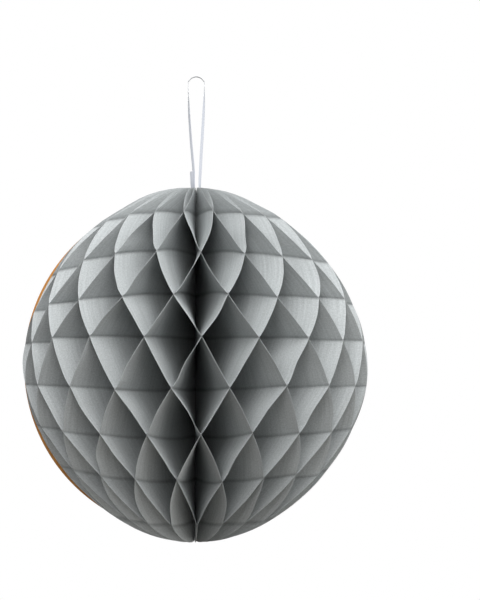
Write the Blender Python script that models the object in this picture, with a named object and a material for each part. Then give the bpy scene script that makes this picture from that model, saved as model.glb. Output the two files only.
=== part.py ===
"""Paper honeycomb ball on a ribbon loop.

Forty-two paper leaves stand round an upright spine. Each leaf is glued to one
neighbour on the odd rows and to the other neighbour on the even rows, so the
opened ball is a honeycomb of diamond cells. Two half-round card covers close
the ring back to back, held by two adhesive strips, and the whole ball turns
and swings on the thread eye that the ribbon loop runs through.

Units are metres, +Z is up and the front faces -Y. The origin is the top of the
ribbon loop, where the ball is held. Azimuth is counted from the front, towards
+X.
"""

import math

import bmesh
import bpy
from mathutils import Matrix, Vector

# The paper, as it is cut and glued
LEAF_COUNT = 42
LEAF_DEPTH = 0.1745
LEAF_HALF_HEIGHT = 0.1810
PAPER_THICKNESS = 0.0002
GLUE_GAP = 0.0003
GLUE_LINES = (0.1511, 0.1105, 0.0673, 0.0237, -0.0279, -0.0752, -0.1178, -0.1603)
SPINE_CLEARANCE = 0.0050
CORNER_CUT_DEPTH = 0.0035
CORNER_CUT_HEIGHT = 0.0150
END_LEAF_CLEARANCE = 0.0125

# The covers, and the strips that join them
SEAM_AZIMUTH = math.radians(-83.7)
COVER_RADIUS = 0.1728
COVER_DROP = 0.0010
COVER_THICKNESS = 0.00045
COVER_HALF_GAP = 0.00010
COVER_SPINE_CLEARANCE = 0.0085
COVER_LEAF_GAP = 0.0002
SEAM_DRAW = (1.0, 0.95, 0.85, 0.5, 0.3, 0.15, 0.05, 0.0)
SEAM_DRAW_ABOVE = math.radians(4.7)
SEAM_DRAW_BELOW = math.radians(1.8)
STRIP_THICKNESS = 0.0001
STRIP_WIDTH = 0.012
STRIP_LENGTH = 0.090
STRIP_CENTRE_HEIGHT = 0.078
STRIP_INSET = 0.012

# The ribbon loop, seen from the front
LOOP_HEIGHT = 0.118
RIBBON_WIDTH = 0.0020
LOOP_HALF_WIDTH = 0.0085
BIGHT_DEPTH = 0.0045
STRAND_LEFT_X = -0.0024
STRAND_RIGHT_X = 0.0037
TAIL_LENGTH = 0.017
TAIL_OFFSET = 0.0023

# The binding thread
EYE_RADIUS = 0.0022
EYE_THREAD = 0.0008
THREAD_DIAMETER = 0.0014
THREAD_END_GAP = 0.0007
KNOT_RADIUS = 0.0019
BOTTOM_INSET = 0.004

# How finely the pieces are meshed
LEAF_STATIONS = (0.0, 0.55, 1.0)
CAP_STEPS = (0.0, 0.42, 0.76, 0.97)
COVER_SEGMENTS = 40
RIBBON_STEPS = 2
EYE_SEGMENTS = 16

PITCH = 2 * math.pi / LEAF_COUNT
CENTRE = Vector((0.0, 0.0, -LOOP_HEIGHT - LEAF_HALF_HEIGHT))
BIGHT_Z = -LOOP_HEIGHT - BIGHT_DEPTH
FITTING_GAP = 0.0003


def clear_scene():
    for obj in list(bpy.data.objects):
        bpy.data.objects.remove(obj)


def make_material(name, colour, roughness):
    material = bpy.data.materials.new(name)
    material.use_nodes = True
    shader = material.node_tree.nodes["Principled BSDF"]
    shader.inputs["Base Color"].default_value = (*colour, 1.0)
    shader.inputs["Roughness"].default_value = roughness
    shader.inputs["Metallic"].default_value = 0.0
    return material


def add_object(name, data, material):
    obj = bpy.data.objects.new(name, data)
    bpy.context.scene.collection.objects.link(obj)
    if not data.materials:
        data.materials.append(material)
    return obj


def stand_on_spine(obj, azimuth):
    """Put the object's origin on the spine, with its own +X pointing outward."""
    obj.location = CENTRE
    obj.rotation_euler = (0.0, 0.0, azimuth - math.pi / 2)


# ---- leaves ----


def opened_height(flat_height, reach):
    """How high a point of the paper stands in the open ball. The cells pull the
    glue lines together as they widen, so the paper is lower further out."""
    sideways = 2 * reach * math.sin(PITCH / 2)
    total = 0.0
    for upper, lower in zip(GLUE_LINES, GLUE_LINES[1:]):
        drawn_in = math.sqrt(1 - (sideways / (upper - lower)) ** 2)
        total += (min(max(flat_height, lower), upper) - min(max(0.0, lower), upper)) * drawn_in
    total += max(flat_height - GLUE_LINES[0], 0.0) + min(flat_height - GLUE_LINES[-1], 0.0)
    return total


def side_of(flat_height, leaf):
    """Which neighbour the leaf leans to: -1 the one before, +1 the one after."""
    signs = [1 if (leaf + row) % 2 == 0 else -1 for row in range(len(GLUE_LINES))]
    if flat_height >= GLUE_LINES[0]:
        return signs[0]
    for row in range(len(GLUE_LINES) - 1):
        upper, lower = GLUE_LINES[row], GLUE_LINES[row + 1]
        if flat_height >= lower:
            share = (upper - flat_height) / (upper - lower)
            return signs[row] + (signs[row + 1] - signs[row]) * share
    return signs[-1]


def drawn_at_seam(point, leaf, side):
    """The paper near the covers is drawn round towards the middle height."""
    plane = leaf + 0.5 + side / 2
    nearest = min(plane, LEAF_COUNT - plane)
    before = min(int(nearest), len(SEAM_DRAW) - 2)
    share = min(nearest - before, 1.0)
    amount = SEAM_DRAW[before] + (SEAM_DRAW[before + 1] - SEAM_DRAW[before]) * share
    out = math.hypot(point.x, point.y)
    climb = math.atan2(point.z, out)
    most = SEAM_DRAW_ABOVE if climb > 0 else SEAM_DRAW_BELOW
    drawn = climb - most * math.sin(2 * climb) * amount
    spread = point.length * math.cos(drawn) / out
    return Vector((point.x * spread, point.y * spread, point.length * math.sin(drawn)))


def outline_reach(flat_height):
    return LEAF_DEPTH * math.sqrt(max(1 - (flat_height / LEAF_HALF_HEIGHT) ** 2, 0.0))


def spine_reach(flat_height, clearance):
    """The leaf's inner edge, cut back at its two corners to let the ribbon out."""
    into_corner = abs(flat_height) - (LEAF_HALF_HEIGHT - CORNER_CUT_HEIGHT)
    share = max(into_corner / CORNER_CUT_HEIGHT, 0.0)
    return max(SPINE_CLEARANCE + CORNER_CUT_DEPTH * share, clearance)


def leaf_heights():
    """The flat heights at which a leaf's mesh has a line of points, from the top down."""
    top_cap = LEAF_HALF_HEIGHT - GLUE_LINES[0]
    bottom_cap = LEAF_HALF_HEIGHT + GLUE_LINES[-1]
    top = [GLUE_LINES[0] + top_cap * step for step in reversed(CAP_STEPS)]
    inner = []
    for upper, lower in zip(GLUE_LINES, GLUE_LINES[1:]):
        inner += [(upper + lower) / 2, lower]
    bottom = [GLUE_LINES[-1] - bottom_cap * step for step in CAP_STEPS[1:]]
    return top + inner + bottom


def leaf_point(flat_height, reach, leaf, offsets):
    """A point of the leaf's middle surface: +X outward, +Y towards the next leaf."""
    side = side_of(flat_height, leaf)
    angle = side * PITCH / 2
    offset = offsets[1] if side > 0 else offsets[0]
    across = reach * math.sin(angle) - side * offset
    point = Vector((reach * math.cos(angle), across, opened_height(flat_height, reach)))
    return drawn_at_seam(point, leaf, side)


def leaf_mesh(name, leaf, offsets, clearance):
    """A sheet of triangles; offsets keep the leaf clear of what it is glued to."""
    mesh_builder = bmesh.new()
    lines = []
    for height in leaf_heights():
        inner = spine_reach(height, clearance)
        outer = outline_reach(height)
        reaches = [inner + (outer - inner) * station for station in LEAF_STATIONS]
        lines.append(
            [mesh_builder.verts.new(leaf_point(height, r, leaf, offsets)) for r in reaches]
        )
    for above, below in zip(lines, lines[1:]):
        for i in range(len(LEAF_STATIONS) - 1):
            mesh_builder.faces.new((above[i], above[i + 1], below[i + 1], below[i]))
    bmesh.ops.triangulate(mesh_builder, faces=mesh_builder.faces)
    mesh = bpy.data.meshes.new(name)
    mesh_builder.to_mesh(mesh)
    mesh_builder.free()
    return mesh


def add_leaves(paper):
    glued = GLUE_GAP / 2 + PAPER_THICKNESS / 2
    at_cover = COVER_HALF_GAP + COVER_THICKNESS + COVER_LEAF_GAP + PAPER_THICKNESS / 2
    for leaf in range(LEAF_COUNT):
        offsets = (glued, glued)
        clearance = SPINE_CLEARANCE
        if leaf == 0:
            offsets = (at_cover, glued)
            clearance = END_LEAF_CLEARANCE
        elif leaf == LEAF_COUNT - 1:
            offsets = (glued, at_cover)
            clearance = END_LEAF_CLEARANCE
        name = f"leaf_{leaf + 1:02d}"
        obj = add_object(name, leaf_mesh(name, leaf, offsets, clearance), paper)
        stand_on_spine(obj, SEAM_AZIMUTH + (leaf + 0.5) * PITCH)
        solidify = obj.modifiers.new("paper_thickness", "SOLIDIFY")
        solidify.thickness = PAPER_THICKNESS
        solidify.offset = 0.0


# ---- covers and adhesive strips ----


def plate_mesh(name, outline, inner_side, outer_side):
    """A flat plate from an outline in the XZ plane, between two distances along Y."""
    mesh_builder = bmesh.new()
    ring = [mesh_builder.verts.new((x, inner_side, z)) for x, z in outline]
    face = mesh_builder.faces.new(ring)
    swept = bmesh.ops.extrude_face_region(mesh_builder, geom=[face])
    moved = [item for item in swept["geom"] if isinstance(item, bmesh.types.BMVert)]
    bmesh.ops.translate(
        mesh_builder, verts=moved, vec=Vector((0.0, outer_side - inner_side, 0.0))
    )
    bmesh.ops.recalc_face_normals(mesh_builder, faces=mesh_builder.faces)
    mesh = bpy.data.meshes.new(name)
    mesh_builder.to_mesh(mesh)
    mesh_builder.free()
    return mesh


def cover_outline():
    """A half-circle of card, with a straight edge just clear of the spine. It sits
    a little below the middle of the leaves."""
    limit = math.acos(COVER_SPINE_CLEARANCE / COVER_RADIUS)
    angles = [limit * (1 - 2 * i / COVER_SEGMENTS) for i in range(COVER_SEGMENTS + 1)]
    return [(COVER_RADIUS * math.cos(a), COVER_RADIUS * math.sin(a) - COVER_DROP) for a in angles]


def add_covers(card):
    near, far = COVER_HALF_GAP, COVER_HALF_GAP + COVER_THICKNESS
    front = add_object("cover_front", plate_mesh("cover_front", cover_outline(), near, far), card)
    back = add_object("cover_back", plate_mesh("cover_back", cover_outline(), -near, -far), card)
    stand_on_spine(front, SEAM_AZIMUTH)
    stand_on_spine(back, SEAM_AZIMUTH)


def add_strips(adhesive):
    """Two strips between the covers, near their round edge."""
    for name, direction in (("adhesive_strip_upper", 1), ("adhesive_strip_lower", -1)):
        centre_z = direction * STRIP_CENTRE_HEIGHT
        ends = (centre_z - STRIP_LENGTH / 2, centre_z + STRIP_LENGTH / 2)
        furthest = max(abs(end) for end in ends)
        outer = math.sqrt(COVER_RADIUS**2 - furthest**2) - STRIP_INSET
        inner = outer - STRIP_WIDTH
        outline = [(inner, ends[0]), (outer, ends[0]), (outer, ends[1]), (inner, ends[1])]
        half = STRIP_THICKNESS / 2
        strip = add_object(name, plate_mesh(name, outline, -half, half), adhesive)
        stand_on_spine(strip, SEAM_AZIMUTH)


# ---- ribbon and thread ----


def ribbon_route():
    """The ribbon's middle line: from its tail end down the left strand, through
    the thread eye, up the right strand, round the top and back to the left."""
    pole = -LOOP_HEIGHT
    tail_x = STRAND_LEFT_X - TAIL_OFFSET
    bight_left = tail_x + 0.0005
    bight_middle = (bight_left + STRAND_RIGHT_X) / 2
    bight_half = (STRAND_RIGHT_X - bight_left) / 2
    points = [
        (tail_x - 0.0002, pole + TAIL_LENGTH),
        (tail_x, pole + 0.010),
        (tail_x + 0.0001, pole + 0.005),
        (tail_x + 0.0003, pole + 0.0015),
    ]
    for degrees in (180, 216, 252, 288, 324, 360):
        turn = math.radians(degrees)
        across = bight_middle + bight_half * math.cos(turn)
        points.append((across, BIGHT_Z + bight_half * (1 + math.sin(turn))))
    points += [
        (STRAND_RIGHT_X + 0.0003, pole + 0.008),
        (STRAND_RIGHT_X + 0.0011, pole + 0.025),
        (STRAND_RIGHT_X + 0.0024, pole + 0.050),
        (STRAND_RIGHT_X + 0.0040, pole + 0.080),
    ]
    top_z = -RIBBON_WIDTH / 2 - LOOP_HALF_WIDTH
    for degrees in (0, 30, 60, 90, 120, 150, 180):
        turn = math.radians(degrees)
        points.append((LOOP_HALF_WIDTH * math.cos(turn), top_z + LOOP_HALF_WIDTH * math.sin(turn)))
    points += [
        (STRAND_LEFT_X - 0.0051, pole + 0.080),
        (STRAND_LEFT_X - 0.0030, pole + 0.050),
        (STRAND_LEFT_X - 0.0010, pole + 0.028),
        (STRAND_LEFT_X - 0.0001, pole + 0.017),
        (STRAND_LEFT_X, pole + 0.010),
        (STRAND_LEFT_X + 0.0001, pole + 0.005),
        (STRAND_LEFT_X + 0.0003, pole + 0.002),
    ]
    return [Vector((x, 0.0, z)) for x, z in points]


def smooth_through(points, steps):
    """Points on a Catmull-Rom curve through the route's own points."""
    ends = [2 * points[0] - points[1]] + points + [2 * points[-1] - points[-2]]
    smooth = []
    for a, b, c, d in zip(ends, ends[1:], ends[2:], ends[3:]):
        for step in range(steps):
            t = step / steps
            smooth.append(
                0.5 * (2 * b + (c - a) * t + (2 * a - 5 * b + 4 * c - d) * t**2)
                + 0.5 * (3 * b - a - 3 * c + d) * t**3
            )
    return smooth + [points[-1]]


def tube_curve(name, points, diameter, cyclic):
    curve = bpy.data.curves.new(name, "CURVE")
    curve.dimensions = "3D"
    curve.bevel_depth = diameter / 2
    curve.bevel_resolution = 2
    curve.use_fill_caps = True
    spline = curve.splines.new("POLY")
    spline.points.add(len(points) - 1)
    for spline_point, point in zip(spline.points, points):
        spline_point.co = (*point, 1.0)
    spline.use_cyclic_u = cyclic
    return curve


def add_ribbon(satin):
    route = smooth_through(ribbon_route(), RIBBON_STEPS)
    add_object("ribbon_loop", tube_curve("ribbon_loop", route, RIBBON_WIDTH, False), satin)


def add_thread(thread):
    """The eye that hangs on the ribbon, the thread down the spine and its end knot."""
    drop = EYE_RADIUS - EYE_THREAD / 2 - FITTING_GAP - RIBBON_WIDTH / 2
    eye_z = BIGHT_Z - drop
    turns = [2 * math.pi * i / EYE_SEGMENTS for i in range(EYE_SEGMENTS)]
    ring = [Vector((0.0, EYE_RADIUS * math.cos(t), EYE_RADIUS * math.sin(t))) for t in turns]
    eye = add_object("thread_eye", tube_curve("thread_eye", ring, EYE_THREAD, True), thread)
    eye.location = (0.0, 0.0, eye_z)

    top = eye_z - EYE_RADIUS - EYE_THREAD / 2 - THREAD_END_GAP
    bottom = CENTRE.z - LEAF_HALF_HEIGHT + BOTTOM_INSET + 2 * KNOT_RADIUS
    run = [Vector((0.0, 0.0, top)), Vector((0.0, 0.0, bottom))]
    add_object("spine_thread", tube_curve("spine_thread", run, THREAD_DIAMETER, False), thread)

    mesh_builder = bmesh.new()
    knot_z = bottom - FITTING_GAP - KNOT_RADIUS
    bmesh.ops.create_uvsphere(
        mesh_builder,
        u_segments=12,
        v_segments=8,
        radius=KNOT_RADIUS,
        matrix=Matrix.Translation((0.0, 0.0, knot_z)),
    )
    mesh = bpy.data.meshes.new("spine_knot")
    mesh_builder.to_mesh(mesh)
    mesh_builder.free()
    mesh.shade_smooth()
    add_object("spine_knot", mesh, thread)


def main():
    clear_scene()
    paper = make_material("grey_paper", (0.36, 0.38, 0.38), 0.9)
    card = make_material("kraft_card", (0.55, 0.26, 0.07), 0.8)
    adhesive = make_material("clear_adhesive", (0.85, 0.84, 0.80), 0.5)
    satin = make_material("white_satin", (0.85, 0.86, 0.90), 0.45)
    thread = make_material("grey_thread", (0.55, 0.56, 0.56), 0.85)
    add_ribbon(satin)
    add_thread(thread)
    add_covers(card)
    add_strips(adhesive)
    add_leaves(paper)


main()
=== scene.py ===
"""The finished look of the paper honeycomb ball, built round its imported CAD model."""

import math

import bmesh
import bpy
import numpy as np
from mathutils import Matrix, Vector


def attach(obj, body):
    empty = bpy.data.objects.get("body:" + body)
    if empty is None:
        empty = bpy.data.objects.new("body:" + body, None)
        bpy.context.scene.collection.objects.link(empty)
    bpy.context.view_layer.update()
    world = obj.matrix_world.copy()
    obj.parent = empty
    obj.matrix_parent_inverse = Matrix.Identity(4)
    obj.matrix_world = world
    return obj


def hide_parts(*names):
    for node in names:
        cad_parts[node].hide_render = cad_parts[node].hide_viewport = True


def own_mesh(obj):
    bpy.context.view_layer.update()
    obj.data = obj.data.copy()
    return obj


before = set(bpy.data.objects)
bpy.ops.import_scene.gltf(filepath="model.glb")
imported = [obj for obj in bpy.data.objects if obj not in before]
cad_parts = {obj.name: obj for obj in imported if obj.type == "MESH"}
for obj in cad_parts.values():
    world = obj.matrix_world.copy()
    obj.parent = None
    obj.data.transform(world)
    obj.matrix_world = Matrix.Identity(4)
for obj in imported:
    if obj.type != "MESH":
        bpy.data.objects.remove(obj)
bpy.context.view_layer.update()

# ---- sizes the pieces share with the CAD model, in metres ----

LEAF_COUNT = 42
PITCH = 2 * math.pi / LEAF_COUNT
LOOP_HEIGHT = 0.118
LEAF_DEPTH = 0.1745
LEAF_HALF_HEIGHT = 0.1810
CENTRE_Z = -LOOP_HEIGHT - LEAF_HALF_HEIGHT
SEAM_AZIMUTH = math.radians(-83.7)
GLUE_LINES = (0.1511, 0.1105, 0.0673, 0.0237, -0.0279, -0.0752, -0.1178, -0.1603)
END_LEAF_CLEARANCE = 0.0125
COVER_RADIUS = 0.1728
COVER_DROP = 0.0010
COVER_THICKNESS = 0.00045
COVER_HALF_GAP = 0.00010
COVER_SPINE_CLEARANCE = 0.0085

# ---- the sheets: thickness, edges and the lines of points they are made of ----

SHEET_THICKNESS = 0.00022
GLUED_OFFSET = 0.00015
COVER_OFFSET = COVER_HALF_GAP + COVER_THICKNESS + 0.00016
GLUE_BAND = 0.0006
CREASE_REACH = 0.0026
STEPS_PER_CELL = 9
CAP_STEPS = 9
CAP_END = 0.86
STATIONS = 20
STATION_BIAS = 0.85
CREASE_ANGLE = math.radians(9)
CUT_ANGLE = math.radians(40)
# Each sheet shows its own part of the paper's pattern, this far above the last one's.
PATTERN_SHIFT = 0.01
# The sheet's inner edge leaves room for the ribbon: depths below the top, and reaches there.
RIBBON_ROOM_DEPTHS = (0.000, 0.003, 0.005, 0.008, 0.010, 0.013)
RIBBON_ROOM_REACHES = (0.0075, 0.0060, 0.0048, 0.0042, 0.0034, 0.0026)

# ---- the sheets: how the glued points stray, and how the ball's outline departs from round ----

HEIGHT_STRAY = 0.0013
REACH_STRAY = 0.0010
AZIMUTH_STRAY = 0.0045
MOST_SPREADS = 2
FRONT_SHIFT = 0.010
FRONT_PLANE = 10.0
FRONT_PLANES = 4.0
# The free crown above the top glue row sinks a little, and its sheets stand apart.
CAP_TUCK = 0.068
CAP_SPREAD = 0.85
# Shares of a sheet's reach added at each climb above the equator, in degrees.
SWELL_CLIMBS = (-75.0, -60.0, -45.0, -30.0, -15.0, 0.0, 15.0, 30.0, 45.0, 60.0, 75.0, 90.0)
SWELL = (0.0, 0.006, 0.015, 0.013, 0.005, 0.0, 0.006, 0.006, 0.004, -0.001, -0.011, -0.008)
# Beside the covers: the pull towards the equator on the nearest planes, the radius that
# the drawn paper fills, and the shares of its reach taken off to bare the card's edge.
SEAM_PULL = (1.0, 0.95, 0.85, 0.5, 0.3, 0.15, 0.05, 0.0)
SEAM_PULL_ABOVE = math.radians(4.7)
SEAM_PULL_BELOW = math.radians(1.8)
SEAM_FILL = 0.1717
SEAM_FILL_SHARE = 0.8
BARE_CLIMBS = (-55.0, -35.0, -10.0, 0.0, 8.0, 30.0, 45.0)
BARE = (0.0, 0.005, 0.006, 0.002, 0.010, 0.010, 0.0)

# ---- the sheets: the relief of each cell's wall, and the closed stack ----

BULGE = 0.0011
BULGE_SPAN = 0.62
POCKET = 0.0016
POCKET_LEAST = 0.2
POCKET_MOST = 1.3
POCKET_WAVE = 0.0065
POCKET_STEADY = 0.6
POCKET_RIPPLE = 0.4
POCKET_GROWTH = 1.5
POCKET_PLACES = (0.0, 0.55, 0.70, 0.82, 0.94, 1.0)
POCKET_SHAPE = (0.0, 0.0, 0.5, 1.0, 0.7, 0.0)

# ---- the covers ----

COVER_EDGE_POINTS = 121
COVER_EDGE_ANGLE = math.radians(40)

# ---- the ribbon ----

BIGHT_Z = -0.1225
LOOP_HALF_WIDTH = 0.0085
STRAND_LEFT_X = -0.0024
STRAND_RIGHT_X = 0.0037
TAIL_LENGTH = 0.017
TAIL_OFFSET = 0.0023
TAIL_X = STRAND_LEFT_X - TAIL_OFFSET
BIGHT_LEFT_X = TAIL_X + 0.0005
CORD_RADIUS = 0.0010
RIBBON_WIDTH = 0.0030
RIBBON_THICKNESS = 0.00028
RIBBON_STEPS = 8
RIBBON_EDGE_ANGLE = math.radians(50)
# Points on the way: x beside the tail or strand, height above the ball's pole, and how far
# the width turns from fore-and-aft, in degrees.
TAIL_ROUTE = (
    (-0.0002, TAIL_LENGTH, 62),
    (0.0, 0.010, 58),
    (0.0001, 0.005, 54),
    (0.0003, 0.0015, 46),
)
RIGHT_ROUTE = (
    (0.0003, 0.008, 72),
    (0.0011, 0.025, 80),
    (0.0024, 0.050, 80),
    (0.0040, 0.080, 60),
)
LEFT_ROUTE = (
    (-0.0051, 0.080, 40),
    (-0.0030, 0.050, 55),
    (-0.0010, 0.028, 60),
    (-0.0001, 0.017, 60),
    (0.0, 0.010, 58),
    (0.0001, 0.005, 52),
    (0.0002, 0.002, 48),
    (0.0003, -0.0008, 44),
)
# Points on the bends through the eye and over the top: the angle round the bend and, at
# the eye, the turn of the width, in degrees.
EYE_BEND = ((180, 36), (216, 14), (252, 0), (288, 0), (324, 12), (360, 45))
TOP_BEND = (0, 30, 60, 90, 120, 150, 180)
# Half of the band's section, as shares of its half-width and half-thickness.
BAND_SECTION = ((-1.0, 0.0), (-0.9, 0.9), (-0.4, 1.0), (0.4, 1.0), (0.9, 0.9), (1.0, 0.0))

# ---- the thread, its eye and its knot ----

EYE_RADIUS = 0.0022
EYE_THREAD = 0.0008
EYE_RINGS = 48
EYE_TWISTS = 4
THREAD_DIAMETER = 0.0014
THREAD_RINGS = 700
THREAD_END_GAP = 0.0007
PLY_PITCH = 0.0036
PLY_POINTS = 9
PLY_CORE = 0.80
PLY_WAIST = 0.20
KNOT_RADIUS = 0.0019
KNOT_CORE = 0.93
KNOT_COIL = 0.07
KNOT_STRANDS = 3
KNOT_SLANT = 9
BOTTOM_INSET = 0.004
FITTING_GAP = 0.0003

# ---- colours ----

PAPER_DARK = (0.345, 0.362, 0.364)
PAPER_PALE = (0.600, 0.625, 0.630)
# Painted edge tone: first a painted highlight along the cut rims, since darkened to about the
# paper's mean tone so the lit rims stay subtle.
PAINTED_EDGE_TONE = (0.450, 0.468, 0.472)
# Painted shade: the paper's colour is darkened to this share on the glue creases, where shade falls
# in the folds.
PAINTED_CREASE_SHADE = 0.68
CARD_DARK = (0.46, 0.19, 0.045)
CARD_PALE = (0.60, 0.27, 0.07)
FLECK_DARK = (0.30, 0.12, 0.03)
FLECK_PALE = (0.72, 0.38, 0.13)
SATIN_DARK = (0.46, 0.48, 0.53)
SATIN_PALE = (0.56, 0.58, 0.63)
THREAD_DARK = (0.11, 0.11, 0.11)
THREAD_PALE = (0.23, 0.23, 0.23)

# ---- camera, light and floor ----

EYE_DISTANCE = 1.1375
EYE_ELEVATION = math.radians(-0.9)
AIM_RIGHT = math.radians(2.30)
AIM_UP = math.radians(3.228)
LENS = 66.36
# Each light's name, place, size in metres and power in watts.
LIGHTS = (
    ("key", (0.1, -1.0, 0.50), 0.9, 7.9),
    ("front", (-0.30, -1.7, 0.30), 0.6, 4.4),
    ("fill_behind", (-0.9, 1.7, 0.8), 1.3, 22.0),
)
FLOOR_REACH = 8.0
FLOOR_DROP = 1.0
FLOOR_COLOUR = (0.62, 0.61, 0.59)
FLOOR = [(0.48, (0.048, 0.038, 0.029)), (0.54, (0.64, 0.62, 0.59))]
SKY_BRIGHTEST = (0.30, -0.62, 0.66)
SKY_STRENGTH = 1.4
SKY = [
    (0.00, (0.042, 0.036, 0.030)),
    (0.30, (0.090, 0.082, 0.074)),
    (0.50, (0.200, 0.202, 0.202)),
    (0.75, (0.640, 0.648, 0.652)),
    (1.00, (0.980, 0.995, 1.000)),
]

ROWS = np.array(GLUE_LINES)
rng = np.random.default_rng(42)


# ---- shader helpers ----


def new_material(name, colour, roughness):
    material = bpy.data.materials.new(name)
    material.use_nodes = True
    shader = material.node_tree.nodes["Principled BSDF"]
    shader.inputs["Base Color"].default_value = (*colour, 1.0)
    shader.inputs["Roughness"].default_value = roughness
    shader.inputs["Specular IOR Level"].default_value = 0.25
    return material, material.node_tree, shader


def link(tree, source, target):
    tree.links.new(source, target)


def uv_vector(tree, name):
    node = tree.nodes.new("ShaderNodeUVMap")
    node.uv_map = name
    return node.outputs["UV"]


def split_x(tree, vector):
    node = tree.nodes.new("ShaderNodeSeparateXYZ")
    link(tree, vector, node.inputs["Vector"])
    return node.outputs["X"]


def times(tree, value, factor, added=0.0):
    """The value times a factor, plus an added number."""
    node = tree.nodes.new("ShaderNodeMath")
    node.operation = "MULTIPLY_ADD"
    node.inputs[1].default_value = factor
    node.inputs[2].default_value = added
    link(tree, value, node.inputs[0])
    return node.outputs["Value"]


def noise(tree, vector, scale, detail, rough=0.55):
    node = tree.nodes.new("ShaderNodeTexNoise")
    node.inputs["Scale"].default_value = scale
    node.inputs["Detail"].default_value = detail
    node.inputs["Roughness"].default_value = rough
    link(tree, vector, node.inputs["Vector"])
    return node.outputs["Fac"]


def stretched(tree, vector, scale):
    node = tree.nodes.new("ShaderNodeMapping")
    node.inputs["Scale"].default_value = scale
    link(tree, vector, node.inputs["Vector"])
    return node.outputs["Vector"]


def ramp(tree, fac, stops):
    node = tree.nodes.new("ShaderNodeValToRGB")
    elements = node.color_ramp.elements
    while len(elements) < len(stops):
        elements.new(0.5)
    for element, (position, value) in zip(elements, stops):
        element.position = position
        element.color = (value, value, value, 1.0) if isinstance(value, float) else (*value, 1.0)
    link(tree, fac, node.inputs["Fac"])
    return node.outputs["Color"]


def mixed(tree, fac, first, second, blend="MIX"):
    node = tree.nodes.new("ShaderNodeMix")
    node.data_type = "RGBA"
    node.blend_type = blend
    for socket, value in ((node.inputs[0], fac), (node.inputs[6], first), (node.inputs[7], second)):
        if isinstance(value, bpy.types.NodeSocket):
            link(tree, value, socket)
        elif isinstance(value, tuple):
            socket.default_value = (*value, 1.0)
        else:
            socket.default_value = value
    return node.outputs[2]


def bump(tree, shader, height, strength, distance):
    node = tree.nodes.new("ShaderNodeBump")
    node.inputs["Strength"].default_value = strength
    node.inputs["Distance"].default_value = distance
    link(tree, height, node.inputs["Height"])
    link(tree, node.outputs["Normal"], shader.inputs["Normal"])


# ---- materials ----


def paper_material():
    """Matt grey craft paper: fine fibres and faint streaks along the spine, with painted shade on
    the glue creases and a painted tone on its cut edge. Its UV is metres in from the rim and up."""
    material, tree, shader = new_material("leaf_paper", (0.36, 0.38, 0.38), 0.92)
    flat = uv_vector(tree, "paper_uv")
    mottle = noise(tree, flat, scale=620.0, detail=4.0, rough=0.7)
    along = stretched(tree, flat, (300.0, 14.0, 1.0))
    streaks = noise(tree, along, scale=1.0, detail=4.0, rough=0.65)
    fibres = noise(tree, flat, scale=2600.0, detail=2.0, rough=0.6)
    tone = ramp(tree, mottle, [(0.38, PAPER_DARK), (0.62, PAPER_PALE)])
    tone = mixed(tree, 0.4, tone, ramp(tree, streaks, [(0.34, PAPER_DARK), (0.66, PAPER_PALE)]))
    tone = mixed(tree, 0.25, tone, ramp(tree, fibres, [(0.35, PAPER_DARK), (0.65, PAPER_PALE)]))
    # Painted edge tone over the last 0.4 mm in from the rim: begun as a painted highlight, now near
    # the paper's mean tone.
    centimetres_in = times(tree, split_x(tree, flat), 100.0)
    edge = ramp(tree, centimetres_in, [(0.0, 0.5), (0.02, 0.2), (0.04, 0.0)])
    tone = mixed(tree, edge, tone, PAINTED_EDGE_TONE)
    # Painted shade: the paper is darkened along the glue creases by the mask each sheet carries.
    crease_shade_mask = tree.nodes.new("ShaderNodeAttribute")
    crease_shade_mask.attribute_name = "crease_shade_mask"
    shade = ramp(tree, crease_shade_mask.outputs["Fac"], [(0.0, 1.0), (1.0, PAINTED_CREASE_SHADE)])
    tone = mixed(tree, 1.0, tone, shade, "MULTIPLY")
    link(tree, tone, shader.inputs["Base Color"])
    bump(tree, shader, mixed(tree, 0.6, fibres, streaks), strength=0.35, distance=0.0003)
    return material


def card_material():
    """Kraft card: warm brown with darker and paler fibres."""
    material, tree, shader = new_material("kraft_card", (0.50, 0.22, 0.055), 0.85)
    coords = tree.nodes.new("ShaderNodeTexCoord").outputs["Object"]
    cloud = noise(tree, coords, scale=60.0, detail=4.0, rough=0.6)
    drawn_out = stretched(tree, coords, (900.0, 900.0, 260.0))
    fleck = noise(tree, drawn_out, scale=1.0, detail=3.0, rough=0.7)
    tone = ramp(tree, cloud, [(0.3, CARD_DARK), (0.7, CARD_PALE)])
    tone = mixed(tree, 0.3, tone, ramp(tree, fleck, [(0.35, FLECK_DARK), (0.65, FLECK_PALE)]))
    link(tree, tone, shader.inputs["Base Color"])
    bump(tree, shader, fleck, strength=0.25, distance=0.0002)
    return material


def satin_material():
    """White satin ribbon, with its weave across the width."""
    material, tree, shader = new_material("white_satin", (0.80, 0.81, 0.86), 0.42)
    shader.inputs["Sheen Weight"].default_value = 0.3
    woven = stretched(tree, uv_vector(tree, "ribbon_uv"), (9000.0, 2600.0, 1.0))
    weave = noise(tree, woven, scale=1.0, detail=2.0)
    tone = ramp(tree, weave, [(0.3, SATIN_DARK), (0.7, SATIN_PALE)])
    link(tree, tone, shader.inputs["Base Color"])
    bump(tree, shader, weave, strength=0.2, distance=0.0001)
    return material


def thread_material():
    """Grey binding thread with a fine fuzz."""
    material, tree, shader = new_material("grey_thread", (0.17, 0.17, 0.17), 0.8)
    coords = tree.nodes.new("ShaderNodeTexCoord").outputs["Object"]
    fuzz = noise(tree, coords, scale=3000.0, detail=2.0)
    tone = ramp(tree, fuzz, [(0.3, THREAD_DARK), (0.7, THREAD_PALE)])
    link(tree, tone, shader.inputs["Base Color"])
    return material


def adhesive_material():
    """Milky double-sided tape."""
    return new_material("milky_adhesive", (0.78, 0.77, 0.72), 0.4)[0]


# ---- shape helpers ----


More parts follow.
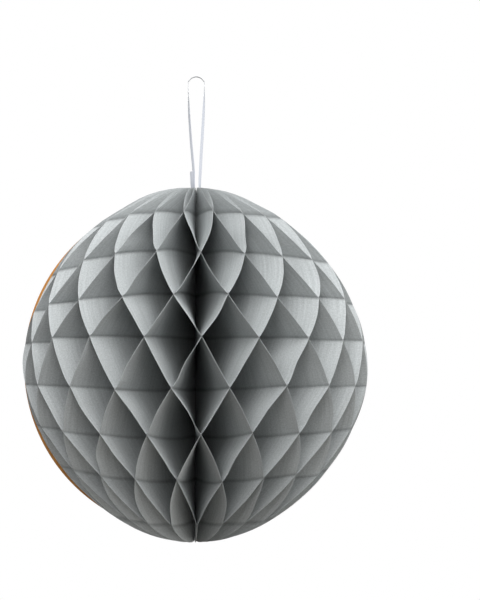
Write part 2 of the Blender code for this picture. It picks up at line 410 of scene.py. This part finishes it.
def add_object(name, mesh, material):
    mesh.materials.append(material)
    obj = bpy.data.objects.new(name, mesh)
    bpy.context.scene.collection.objects.link(obj)
    return obj


def mesh_from(name, builder):
    mesh = bpy.data.meshes.new(name)
    builder.to_mesh(mesh)
    builder.free()
    return mesh


def tube_faces(rings, count, closed=False):
    """Quads round a tube of rings with count points each, with caps on an open tube."""
    faces = []
    for ring in range(rings if closed else rings - 1):
        following = (ring + 1) % rings
        for side in range(count):
            beside = (side + 1) % count
            here = (ring * count + side, ring * count + beside)
            faces.append((*here, following * count + beside, following * count + side))
    if not closed:
        faces += [tuple(reversed(range(count))), tuple(range((rings - 1) * count, rings * count))]
    return faces


# ---- the leaves ----


def opened_height(flat_heights, reaches):
    """The open cells draw the glue lines together, more so further out."""
    sideways = 2 * reaches * math.sin(PITCH / 2)
    total = np.zeros(np.broadcast(flat_heights, reaches).shape)
    for upper, lower in zip(GLUE_LINES, GLUE_LINES[1:]):
        drawn_in = np.sqrt(1 - (sideways / (upper - lower)) ** 2)
        inside = np.clip(flat_heights, lower, upper) - np.clip(0.0, lower, upper)
        total = total + inside * drawn_in
    above = np.maximum(flat_heights - GLUE_LINES[0], 0.0)
    below = np.minimum(flat_heights - GLUE_LINES[-1], 0.0)
    return total + (above + below)


def leaf_heights():
    """Flat heights of the lines of points, top to bottom, close together at the glue."""
    angles = np.linspace(CAP_END, 0.0, CAP_STEPS + 1)[:-1]
    rise = np.sin(angles * math.pi / 2)
    heights = list(ROWS[0] + (LEAF_HALF_HEIGHT - ROWS[0]) * rise)
    for upper, lower in zip(ROWS, ROWS[1:]):
        inside = np.linspace(upper - CREASE_REACH, lower + CREASE_REACH, STEPS_PER_CELL)
        heights += [upper, upper - GLUE_BAND, *inside, lower + GLUE_BAND]
    heights += [ROWS[-1], *(ROWS[-1] - (LEAF_HALF_HEIGHT + ROWS[-1]) * rise[::-1])]
    return np.array(heights)


def stray_table(spread):
    """How far each glued point strays: one number for each plane and glue row."""
    table = rng.normal(0.0, spread, (LEAF_COUNT + 1, len(ROWS)))
    table = np.clip(table, -MOST_SPREADS * spread, MOST_SPREADS * spread)
    table[-1] = table[0]
    return table


HEIGHT_STRAYS = stray_table(HEIGHT_STRAY)
REACH_STRAYS = stray_table(REACH_STRAY)
AZIMUTH_STRAYS = stray_table(AZIMUTH_STRAY)
# The planes round the front gap stand a little aside, and those on the covers stay put.
FROM_FRONT = (np.arange(LEAF_COUNT + 1) - FRONT_PLANE) / FRONT_PLANES
AZIMUTH_STRAYS -= FRONT_SHIFT * np.exp(-(FROM_FRONT**2))[:, None]
AZIMUTH_STRAYS[0] = AZIMUTH_STRAYS[-1] = 0.0
REACH_STRAYS[0] = REACH_STRAYS[-1] = 0.0


def along_rows(heights, values):
    """Carries one value for each glue row to every height: level over each glued
    band and beyond the outermost rows, and straight between."""
    stations = np.repeat(ROWS, 2) + np.tile((GLUE_BAND, -GLUE_BAND), len(ROWS))
    return np.interp(-heights, -stations, np.repeat(values, 2))


def glued_places(leaf, sides, heights):
    """Where the glue holds the sheet at each height: its turn about the spine, its
    offset from the glued plane, and its strays up and out."""
    planes = np.where(sides > 0, leaf + 1, leaf)
    rows = np.arange(len(ROWS))
    at_cover = (planes == 0) | (planes == LEAF_COUNT)
    turns = (sides * PITCH / 2) + AZIMUTH_STRAYS[planes, rows]
    offsets = np.where(at_cover, COVER_OFFSET, GLUED_OFFSET) * sides
    values = (turns, offsets, HEIGHT_STRAYS[planes, rows], REACH_STRAYS[planes, rows])
    return [along_rows(heights, value)[:, None] for value in values]


def leaf_reaches(leaf, heights, into_cap, stray_out):
    """How far from the spine each point lies, and how far the rim does."""
    outline = LEAF_DEPTH * np.sqrt(np.maximum(1 - (heights / LEAF_HALF_HEIGHT) ** 2, 0.0))
    outline = outline * (1 - CAP_TUCK * np.sin(math.pi * into_cap) ** 2)
    rim = outline[:, None] + stray_out * (outline[:, None] / LEAF_DEPTH)
    inner = np.interp(LEAF_HALF_HEIGHT - heights, RIBBON_ROOM_DEPTHS, RIBBON_ROOM_REACHES)
    if leaf in (0, LEAF_COUNT - 1):
        inner = np.maximum(inner, END_LEAF_CLEARANCE)
    inner = inner[:, None]
    share = np.linspace(0.0, 1.0, STATIONS)[None, :] ** STATION_BIAS
    return inner + (rim - inner) * share, rim


def cell_relief(sides, heights, reach):
    """The bulge of each cell's wall, and the pocket that sags towards its glue line."""
    cells = len(ROWS) - 1
    amounts = rng.normal(0.0, BULGE, cells)
    pockets = rng.uniform(POCKET_LEAST, POCKET_MOST, cells) * POCKET
    phases = rng.uniform(0.0, 2 * math.pi, cells)
    bulge = np.zeros(len(heights))
    pocket = np.zeros(reach.shape)
    for cell in range(cells):
        within = (heights < ROWS[cell]) & (heights > ROWS[cell + 1])
        position = (ROWS[cell] - heights[within]) / (ROWS[cell] - ROWS[cell + 1])
        bulge[within] = amounts[cell] * np.sin(position * math.pi) ** 2
        sag = np.interp(position, POCKET_PLACES, POCKET_SHAPE) * sides[cell] * pockets[cell]
        ripple = np.sin(reach[within] / POCKET_WAVE + phases[cell])
        wave = POCKET_STEADY + POCKET_RIPPLE * ripple
        pocket[within] = sag[:, None] * wave * (reach[within] / LEAF_DEPTH) ** POCKET_GROWTH
    outwards = np.sin(np.clip(reach / LEAF_DEPTH, 0, 1) * math.pi * BULGE_SPAN) ** 2
    return bulge[:, None] * outwards, pocket


def outlined(leaf, turn, x, y, z, reach, rim):
    """Swells the ball towards its outline, and draws the paper beside the covers
    towards the equator."""
    flat_out = np.hypot(x, y)
    far = np.hypot(flat_out, z)
    climb = np.arctan2(z, flat_out)
    planes_on = turn / PITCH
    nearest = np.minimum(leaf + 0.5 + planes_on, LEAF_COUNT - 0.5 - leaf - planes_on)
    pull = np.interp(nearest, np.arange(len(SEAM_PULL)), SEAM_PULL)
    most_pull = np.where(climb > 0, SEAM_PULL_ABOVE, SEAM_PULL_BELOW)
    pulled = climb - most_pull * np.sin(2 * climb) * pull
    outwards = reach / rim
    filled = np.maximum(SEAM_FILL / far[:, -1:] - 1, 0.0) * SEAM_FILL_SHARE * outwards
    swell = np.interp(np.degrees(climb), SWELL_CLIMBS, SWELL) * (1 - pull) * outwards
    bared = np.interp(np.degrees(climb), BARE_CLIMBS, BARE) * pull**2 * outwards
    far = far * (1 + pull * filled) * (1 + swell) * (1 - bared)
    spread = far * np.cos(pulled) / np.maximum(flat_out, 1e-9)
    return x * spread, y * spread, far * np.sin(pulled)


def leaf_grid(leaf):
    """The leaf's middle surface in the row frame, its distance in from the rim, its flat
    heights and the mask of its painted shade along the glue creases, and the direction from this
    leaf on to the next."""
    heights = leaf_heights()
    sides = np.array([1 if (leaf + row) % 2 == 0 else -1 for row in range(len(ROWS))])
    turn, offset, stray_up, stray_out = glued_places(leaf, sides, heights)
    into_cap = np.clip((heights - ROWS[0]) / (LEAF_HALF_HEIGHT - ROWS[0]), 0.0, 1.0)
    together = (1 - CAP_SPREAD * np.sin(into_cap * math.pi / 2))[:, None]
    turn = turn * together
    offset = offset * together
    reach, rim = leaf_reaches(leaf, heights, into_cap, stray_out)
    bulge, pocket = cell_relief(sides, heights, reach)
    x = reach * np.cos(turn)
    y = reach * np.sin(turn) - offset + bulge + pocket
    z = opened_height(heights[:, None], reach) + stray_up * (reach / LEAF_DEPTH)
    x, y, z = outlined(leaf, turn, x, y, z, reach, rim)
    azimuth = SEAM_AZIMUTH + (leaf + 0.5) * PITCH
    outward = np.array([math.sin(azimuth), -math.cos(azimuth), 0.0])
    onward = np.array([math.cos(azimuth), math.sin(azimuth), 0.0])
    points = x[..., None] * outward + y[..., None] * onward
    points[..., 2] = z + CENTRE_Z
    # Mask for the painted shade on the glue creases: 1 on each glue line, falling to 0 at
    # CREASE_REACH.
    from_line = np.abs(heights[:, None] - ROWS[None, :]).min(axis=1)
    crease_shade_mask = np.clip(1 - from_line / CREASE_REACH, 0.0, 1.0)
    crease_shade_mask = np.broadcast_to(crease_shade_mask[:, None], reach.shape)
    return points, rim - reach, np.broadcast_to(heights[:, None], reach.shape), crease_shade_mask, onward


def grid_object(name, points, uv_name, uvs, material):
    rows, columns = points.shape[:2]
    index = np.arange(rows * columns).reshape(rows, columns)
    quads = np.stack([index[:-1, :-1], index[1:, :-1], index[1:, 1:], index[:-1, 1:]], -1)
    mesh = bpy.data.meshes.new(name)
    mesh.from_pydata(points.reshape(-1, 3).tolist(), [], quads.reshape(-1, 4).tolist())
    layer = mesh.uv_layers.new(name=uv_name)
    corners = np.array([loop.vertex_index for loop in mesh.loops])
    layer.data.foreach_set("uv", uvs.reshape(-1, 2)[corners].astype(np.float32).ravel())
    return add_object(name, mesh, material)


def keep_modifiers(obj):
    """The object's mesh becomes what its modifiers make of it."""
    seen = obj.evaluated_get(bpy.context.evaluated_depsgraph_get())
    obj.data = bpy.data.meshes.new_from_object(seen)
    obj.modifiers.clear()


def make_leaves(paper):
    """Thin solid sheets, each riding on its leaf's body."""
    for leaf in range(LEAF_COUNT):
        node = f"leaf_{leaf + 1:02d}"
        points, inward, heights, crease_shade_mask, onward = leaf_grid(leaf)
        uvs = np.stack([inward, heights + PATTERN_SHIFT * leaf], -1)
        sheet = grid_object(f"paper_{node}", points, "paper_uv", uvs, paper)
        # Each sheet carries the mask of its painted shade on the glue creases.
        marks = sheet.data.attributes.new("crease_shade_mask", "FLOAT", "POINT")
        marks.data.foreach_set("value", crease_shade_mask.astype(np.float32).ravel())
        sheet.data.shade_smooth()
        sheet.data.set_sharp_from_angle(angle=CREASE_ANGLE)
        solidify = sheet.modifiers.new("thickness", "SOLIDIFY")
        solidify.thickness = SHEET_THICKNESS
        solidify.offset = 0.0
        crisp = sheet.modifiers.new("crisp_edges", "EDGE_SPLIT")
        crisp.split_angle = CUT_ANGLE
        keep_modifiers(sheet)
        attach(sheet, node)
        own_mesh(sheet)
        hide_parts(node)


# ---- the covers ----


def make_covers(card):
    """Half-round card boards with a straight edge just clear of the spine."""
    limit = math.acos(COVER_SPINE_CLEARANCE / COVER_RADIUS)
    outward = Vector((math.sin(SEAM_AZIMUTH), -math.cos(SEAM_AZIMUTH), 0.0))
    onward = Vector((math.cos(SEAM_AZIMUTH), math.sin(SEAM_AZIMUTH), 0.0))
    for node, side in (("cover_front", 1), ("cover_back", -1)):
        builder = bmesh.new()
        ring = []
        for angle in np.linspace(limit, -limit, COVER_EDGE_POINTS):
            flat = outward * (COVER_RADIUS * math.cos(angle)) + onward * (side * COVER_HALF_GAP)
            height = COVER_RADIUS * math.sin(angle) - COVER_DROP + CENTRE_Z
            ring.append(builder.verts.new(flat + Vector((0.0, 0.0, height))))
        face = builder.faces.new(ring)
        swept = bmesh.ops.extrude_face_region(builder, geom=[face])
        moved = [item for item in swept["geom"] if isinstance(item, bmesh.types.BMVert)]
        bmesh.ops.translate(builder, verts=moved, vec=onward * (side * COVER_THICKNESS))
        bmesh.ops.recalc_face_normals(builder, faces=builder.faces)
        board = add_object(f"card_{node}", mesh_from(f"card_{node}", builder), card)
        board.data.shade_smooth()
        board.data.set_sharp_from_angle(angle=COVER_EDGE_ANGLE)
        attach(board, node)
        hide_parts(node)


# ---- the ribbon ----


def ribbon_route():
    """The ribbon's middle line as x, z and the turn of its width: from its tail end down
    beside the left strand, through the thread eye, up the right strand, round the top
    and back down to the left strand's end."""
    pole = -LOOP_HEIGHT
    bight_middle = (BIGHT_LEFT_X + STRAND_RIGHT_X) / 2
    bight_half = (STRAND_RIGHT_X - BIGHT_LEFT_X) / 2
    top_z = -CORD_RADIUS - LOOP_HALF_WIDTH
    route = [(TAIL_X + beside, pole + above, turn) for beside, above, turn in TAIL_ROUTE]
    for degrees, width_turn in EYE_BEND:
        bend = math.radians(degrees)
        across = bight_middle + bight_half * math.cos(bend)
        route.append((across, BIGHT_Z + bight_half * (1 + math.sin(bend)), width_turn))
    route += [(STRAND_RIGHT_X + beside, pole + above, turn) for beside, above, turn in RIGHT_ROUTE]
    for degrees in TOP_BEND:
        bend = math.radians(degrees)
        across = LOOP_HALF_WIDTH * math.cos(bend)
        route.append((across, top_z + LOOP_HALF_WIDTH * math.sin(bend), 0))
    route += [(STRAND_LEFT_X + beside, pole + above, turn) for beside, above, turn in LEFT_ROUTE]
    return [np.array(point, dtype=float) for point in route]


def smooth_through(points, steps):
    """Points on a Catmull-Rom curve through the route's own points."""
    ends = [2 * points[0] - points[1]] + points + [2 * points[-1] - points[-2]]
    smooth = []
    for a, b, c, d in zip(ends, ends[1:], ends[2:], ends[3:]):
        for step in range(steps):
            t = step / steps
            smooth.append(
                0.5 * (2 * b + (c - a) * t + (2 * a - 5 * b + 4 * c - d) * t**2)
                + 0.5 * (3 * b - a - 3 * c + d) * t**3
            )
    return smooth + [points[-1]]


def make_ribbon(satin):
    """A flat satin band with thin rounded edges, turning along its way."""
    stations = smooth_through(ribbon_route(), RIBBON_STEPS)
    path = np.array([(x, 0.0, z) for x, z, _ in stations])
    tangents = np.gradient(path, axis=0)
    tangents /= np.linalg.norm(tangents, axis=1)[:, None]
    steps = np.linalg.norm(np.diff(path, axis=0), axis=1)
    lengths = np.concatenate([[0.0], np.cumsum(steps)])
    half = RIBBON_WIDTH / 2
    thin = RIBBON_THICKNESS / 2
    section = [(half * across, thin * up) for across, up in BAND_SECTION]
    section += [(-across, -up) for across, up in section[1:-1]]
    sides = [math.dist(a, b) for a, b in zip(section, section[1:] + section[:1])]
    around = np.cumsum([0.0] + sides)
    vertices = []
    for point, tangent, (_, _, turn) in zip(path, tangents, stations):
        sideways = np.array([tangent[2], 0.0, -tangent[0]])
        angle = math.radians(turn)
        width_way = np.array([0.0, 1.0, 0.0]) * math.cos(angle) + sideways * math.sin(angle)
        up_way = np.cross(tangent, width_way)
        vertices += [tuple(point + width_way * across + up_way * up) for across, up in section]
    count = len(section)
    mesh = bpy.data.meshes.new("ribbon_band")
    mesh.from_pydata(vertices, [], tube_faces(len(path), count))
    layer = mesh.uv_layers.new(name="ribbon_uv")
    for polygon in mesh.polygons:
        for corner in polygon.loop_indices:
            index = mesh.loops[corner].vertex_index
            layer.data[corner].uv = (around[index % count], lengths[index // count])
    mesh.shade_smooth()
    mesh.set_sharp_from_angle(angle=RIBBON_EDGE_ANGLE)
    band = add_object("ribbon_band", mesh, satin)
    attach(band, "hanger")
    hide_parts("ribbon_loop")


# ---- the thread ----


def swept(name, path, sideways, section, closed, material):
    """A closed section carried along a path, with one section for each path point."""
    vertices = []
    for point, (first, second), outline in zip(path, sideways, section):
        vertices += [tuple(point + first * a + second * b) for a, b in outline]
    mesh = bpy.data.meshes.new(name)
    mesh.from_pydata(vertices, [], tube_faces(len(path), len(section[0]), closed))
    mesh.shade_smooth()
    return add_object(name, mesh, material)


def twisted_section(radius, turn):
    """Two plies side by side, seen end on and turned."""
    outline = []
    for index in range(PLY_POINTS):
        angle = 2 * math.pi * index / PLY_POINTS
        size = radius * (PLY_CORE + PLY_WAIST * abs(math.cos(angle)))
        outline.append((size * math.cos(angle + turn), size * math.sin(angle + turn)))
    return outline


def make_thread(material):
    """The binding thread down the spine, with the ribbon's eye on top and a knot below."""
    up = np.array([0.0, 0.0, 1.0])
    right = np.array([1.0, 0.0, 0.0])
    back = np.array([0.0, 1.0, 0.0])
    eye_z = BIGHT_Z - (EYE_RADIUS - EYE_THREAD / 2 - FITTING_GAP - CORD_RADIUS)
    angles = np.linspace(0.0, 2 * math.pi, EYE_RINGS + 1)[:-1]
    ring = [
        np.array([0.0, EYE_RADIUS * math.cos(t), eye_z + EYE_RADIUS * math.sin(t)]) for t in angles
    ]
    ways = [(right, back * math.cos(t) + up * math.sin(t)) for t in angles]
    plies = [twisted_section(EYE_THREAD / 2, EYE_TWISTS * t) for t in angles]
    eye = swept("twisted_eye", ring, ways, plies, True, material)
    top = eye_z - EYE_RADIUS - EYE_THREAD / 2 - THREAD_END_GAP
    bottom = CENTRE_Z - LEAF_HALF_HEIGHT + BOTTOM_INSET + 2 * KNOT_RADIUS
    heights = np.linspace(top, bottom, THREAD_RINGS)
    line = [np.array([0.0, 0.0, z]) for z in heights]
    ways = [(right, back)] * len(line)
    turns = [(top - z) * 2 * math.pi / PLY_PITCH for z in heights]
    plies = [twisted_section(THREAD_DIAMETER / 2, turn) for turn in turns]
    spine = swept("twisted_spine_thread", line, ways, plies, False, material)
    builder = bmesh.new()
    bmesh.ops.create_uvsphere(builder, u_segments=36, v_segments=24, radius=KNOT_RADIUS)
    for vertex in builder.verts:
        x, y, z = vertex.co
        coil = math.sin(KNOT_STRANDS * math.atan2(y, x) + KNOT_SLANT * z / KNOT_RADIUS)
        vertex.co *= KNOT_CORE + KNOT_COIL * coil
    knot = add_object("tied_knot", mesh_from("tied_knot", builder), material)
    knot.data.shade_smooth()
    knot.location = (0.0, 0.0, bottom - FITTING_GAP - KNOT_RADIUS)
    riders = (
        (eye, "thread_eye", "eye"),
        (spine, "spine_thread", "spine"),
        (knot, "spine_knot", "spine"),
    )
    for obj, node, body in riders:
        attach(obj, body)
        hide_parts(node)


# ---- camera, light and floor ----


def make_camera():
    data = bpy.data.cameras.new("camera")
    data.lens = LENS
    camera = bpy.data.objects.new("camera", data)
    bpy.context.scene.collection.objects.link(camera)
    away = Vector((0.0, -math.cos(EYE_ELEVATION), math.sin(EYE_ELEVATION)))
    camera.location = Vector((0.0, 0.0, CENTRE_Z)) + away * EYE_DISTANCE
    camera.rotation_euler = (math.pi / 2 - EYE_ELEVATION + AIM_UP, 0.0, -AIM_RIGHT)
    bpy.context.scene.camera = camera


def area_light(name, location, size, power):
    """A round soft light that faces the middle of the ball."""
    data = bpy.data.lights.new(name, "AREA")
    data.shape = "DISK"
    data.size = size
    data.energy = power
    lamp = bpy.data.objects.new(name, data)
    bpy.context.scene.collection.objects.link(lamp)
    lamp.location = location
    lamp.rotation_mode = "QUATERNION"
    target = Vector((0.0, 0.0, CENTRE_Z))
    lamp.rotation_quaternion = (target - Vector(location)).to_track_quat("-Z", "Y")


def seen_white(tree, surface, white_type, target):
    """White to the eye, while every other ray meets the given surface."""
    path = tree.nodes.new("ShaderNodeLightPath")
    white = tree.nodes.new(white_type)
    white.inputs["Color"].default_value = (1.0, 1.0, 1.0, 1.0)
    white.inputs["Strength"].default_value = 1.0
    choice = tree.nodes.new("ShaderNodeMixShader")
    link(tree, path.outputs["Is Camera Ray"], choice.inputs[0])
    link(tree, surface, choice.inputs[1])
    link(tree, white.outputs[0], choice.inputs[2])
    link(tree, choice.outputs[0], target)


def make_floor():
    """A pale floor, darker to the left, which lights the ball from below."""
    low = CENTRE_Z - FLOOR_DROP
    corners = [
        (-FLOOR_REACH, -FLOOR_REACH, low),
        (FLOOR_REACH, -FLOOR_REACH, low),
        (FLOOR_REACH, FLOOR_REACH, low),
        (-FLOOR_REACH, FLOOR_REACH, low),
    ]
    pale, tree, shader = new_material("pale_floor", FLOOR_COLOUR, 0.9)
    place = tree.nodes.new("ShaderNodeTexCoord").outputs["Generated"]
    link(tree, ramp(tree, split_x(tree, place), FLOOR), shader.inputs["Base Color"])
    surface = tree.nodes["Material Output"].inputs["Surface"]
    seen_white(tree, shader.outputs[0], "ShaderNodeEmission", surface)
    mesh = bpy.data.meshes.new("floor")
    mesh.from_pydata(corners, [], [(0, 1, 2, 3)])
    add_object("floor", mesh, pale)


def make_sky():
    """A soft studio sky, brightest above and in front of the ball on the right."""
    world = bpy.data.worlds.new("studio")
    world.use_nodes = True
    tree = world.node_tree
    background = tree.nodes["Background"]
    direction = tree.nodes.new("ShaderNodeTexCoord").outputs["Generated"]
    facing = tree.nodes.new("ShaderNodeVectorMath")
    facing.operation = "DOT_PRODUCT"
    facing.inputs[1].default_value = Vector(SKY_BRIGHTEST).normalized()
    link(tree, direction, facing.inputs[0])
    brightness = times(tree, facing.outputs["Value"], 0.5, 0.5)
    link(tree, ramp(tree, brightness, SKY), background.inputs["Color"])
    background.inputs["Strength"].default_value = SKY_STRENGTH
    surface = tree.nodes["World Output"].inputs["Surface"]
    seen_white(tree, background.outputs[0], "ShaderNodeBackground", surface)
    bpy.context.scene.world = world
    bpy.context.scene.view_settings.view_transform = "Standard"


make_camera()
make_floor()
make_sky()
for light in LIGHTS:
    area_light(*light)
paper = paper_material()
card = card_material()
satin = satin_material()
thread = thread_material()
adhesive = adhesive_material()
make_leaves(paper)
make_covers(card)
make_ribbon(satin)
make_thread(thread)
for node in ("adhesive_strip_upper", "adhesive_strip_lower"):
    for material_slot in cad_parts[node].material_slots:
        material_slot.material = adhesive
